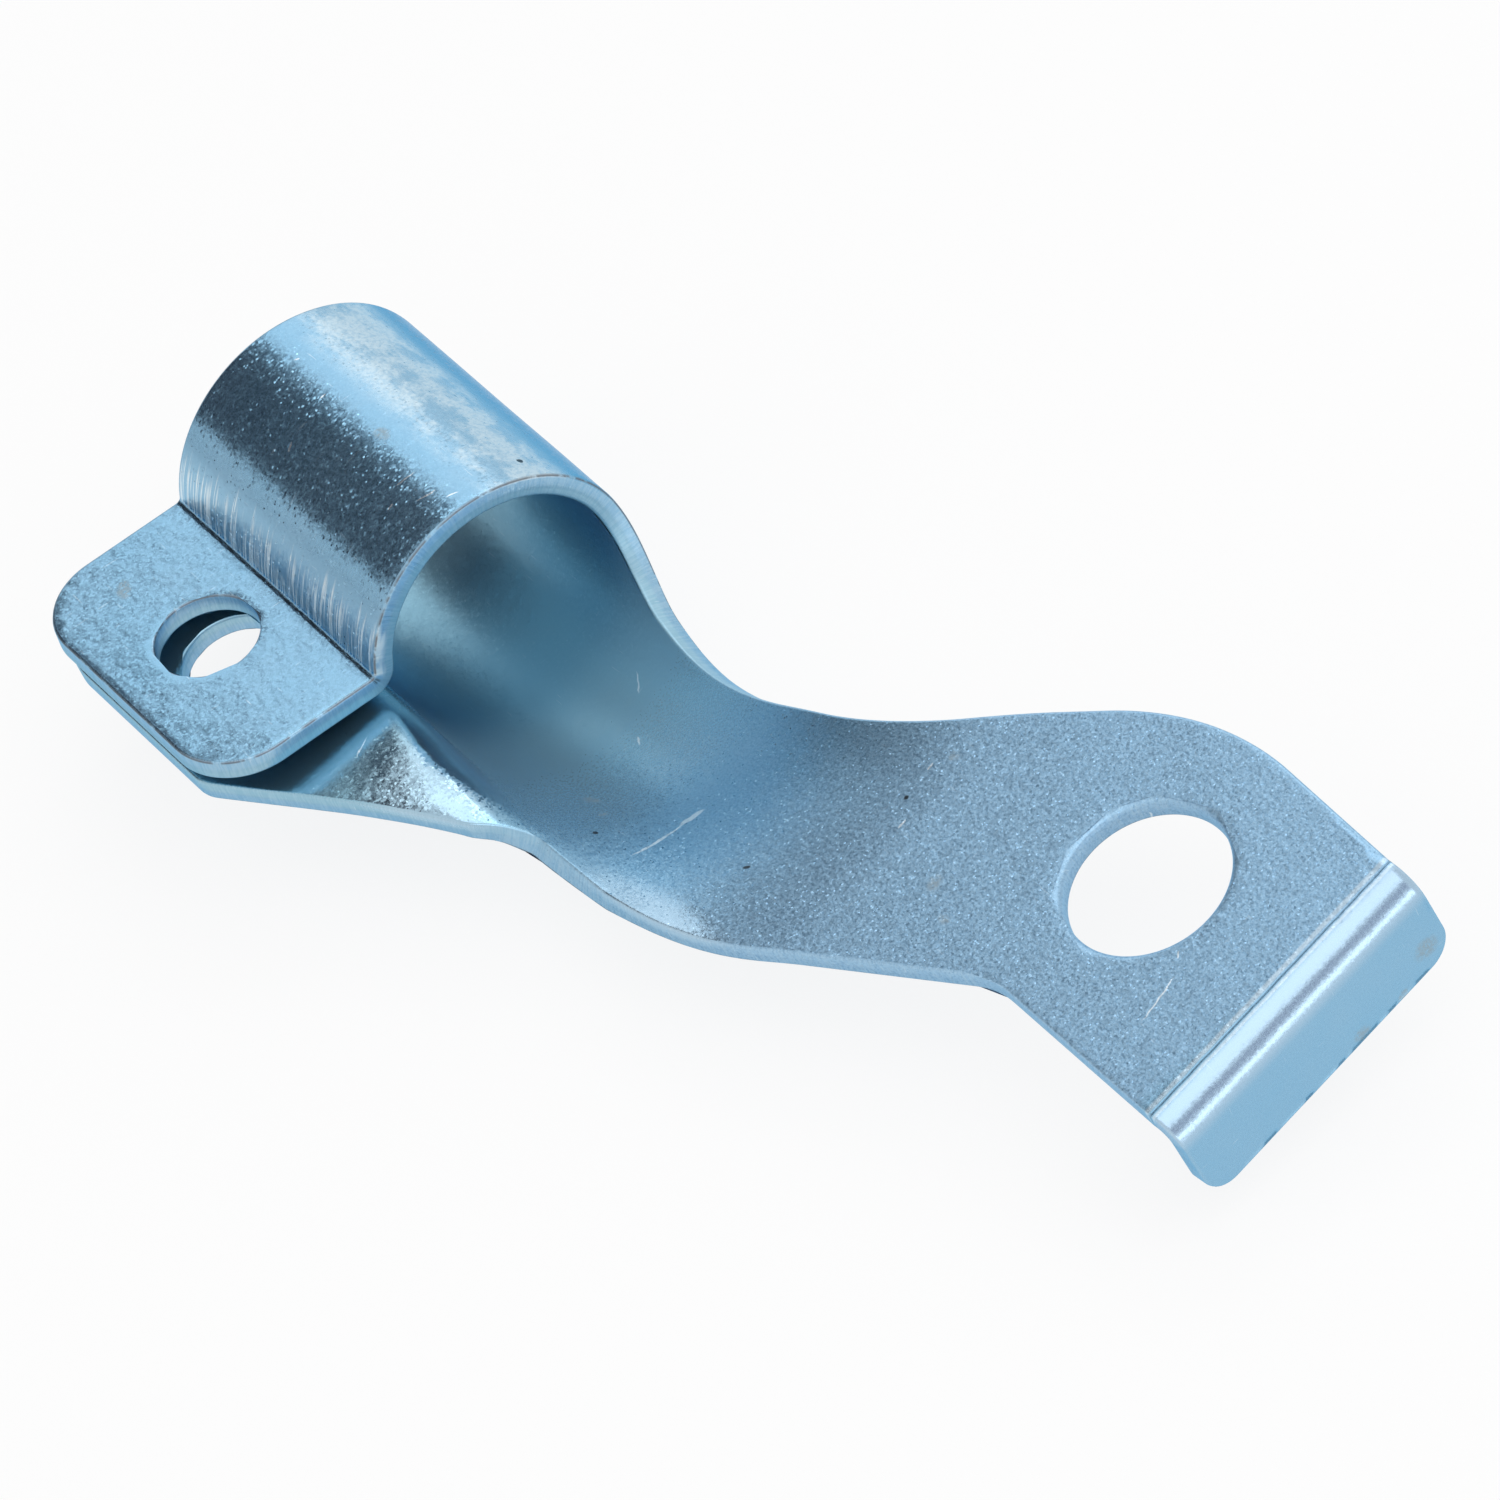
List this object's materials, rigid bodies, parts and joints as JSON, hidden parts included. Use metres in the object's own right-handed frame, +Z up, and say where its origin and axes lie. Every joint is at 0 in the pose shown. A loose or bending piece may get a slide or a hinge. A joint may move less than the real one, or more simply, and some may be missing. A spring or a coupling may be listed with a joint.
{
  "type": "hose clamp bracket",
  "caption": "Brake hose clamp folded from one strip of zinc-plated steel sheet: a split round clamp with bolting tabs, and a formed arm to a flat pad with a bolt hole and a turned-down lip.",
  "frame": {"origin": "middle of the pad's bolt hole, on the pad's top face", "axes": "+X along the clamp's bore towards the arm and lip, +Y from the bolting tabs towards the round, +Z up, square to the upper tab"},
  "size_m": [0.0905, 0.0479, 0.02],
  "materials": {
    "zinc_steel": "blue-bright zinc plate with fine grain and light handling marks"
  },
  "bodies": {
    "root": {"hose_clamp": "zinc_steel"}
  },
  "joints": []
}
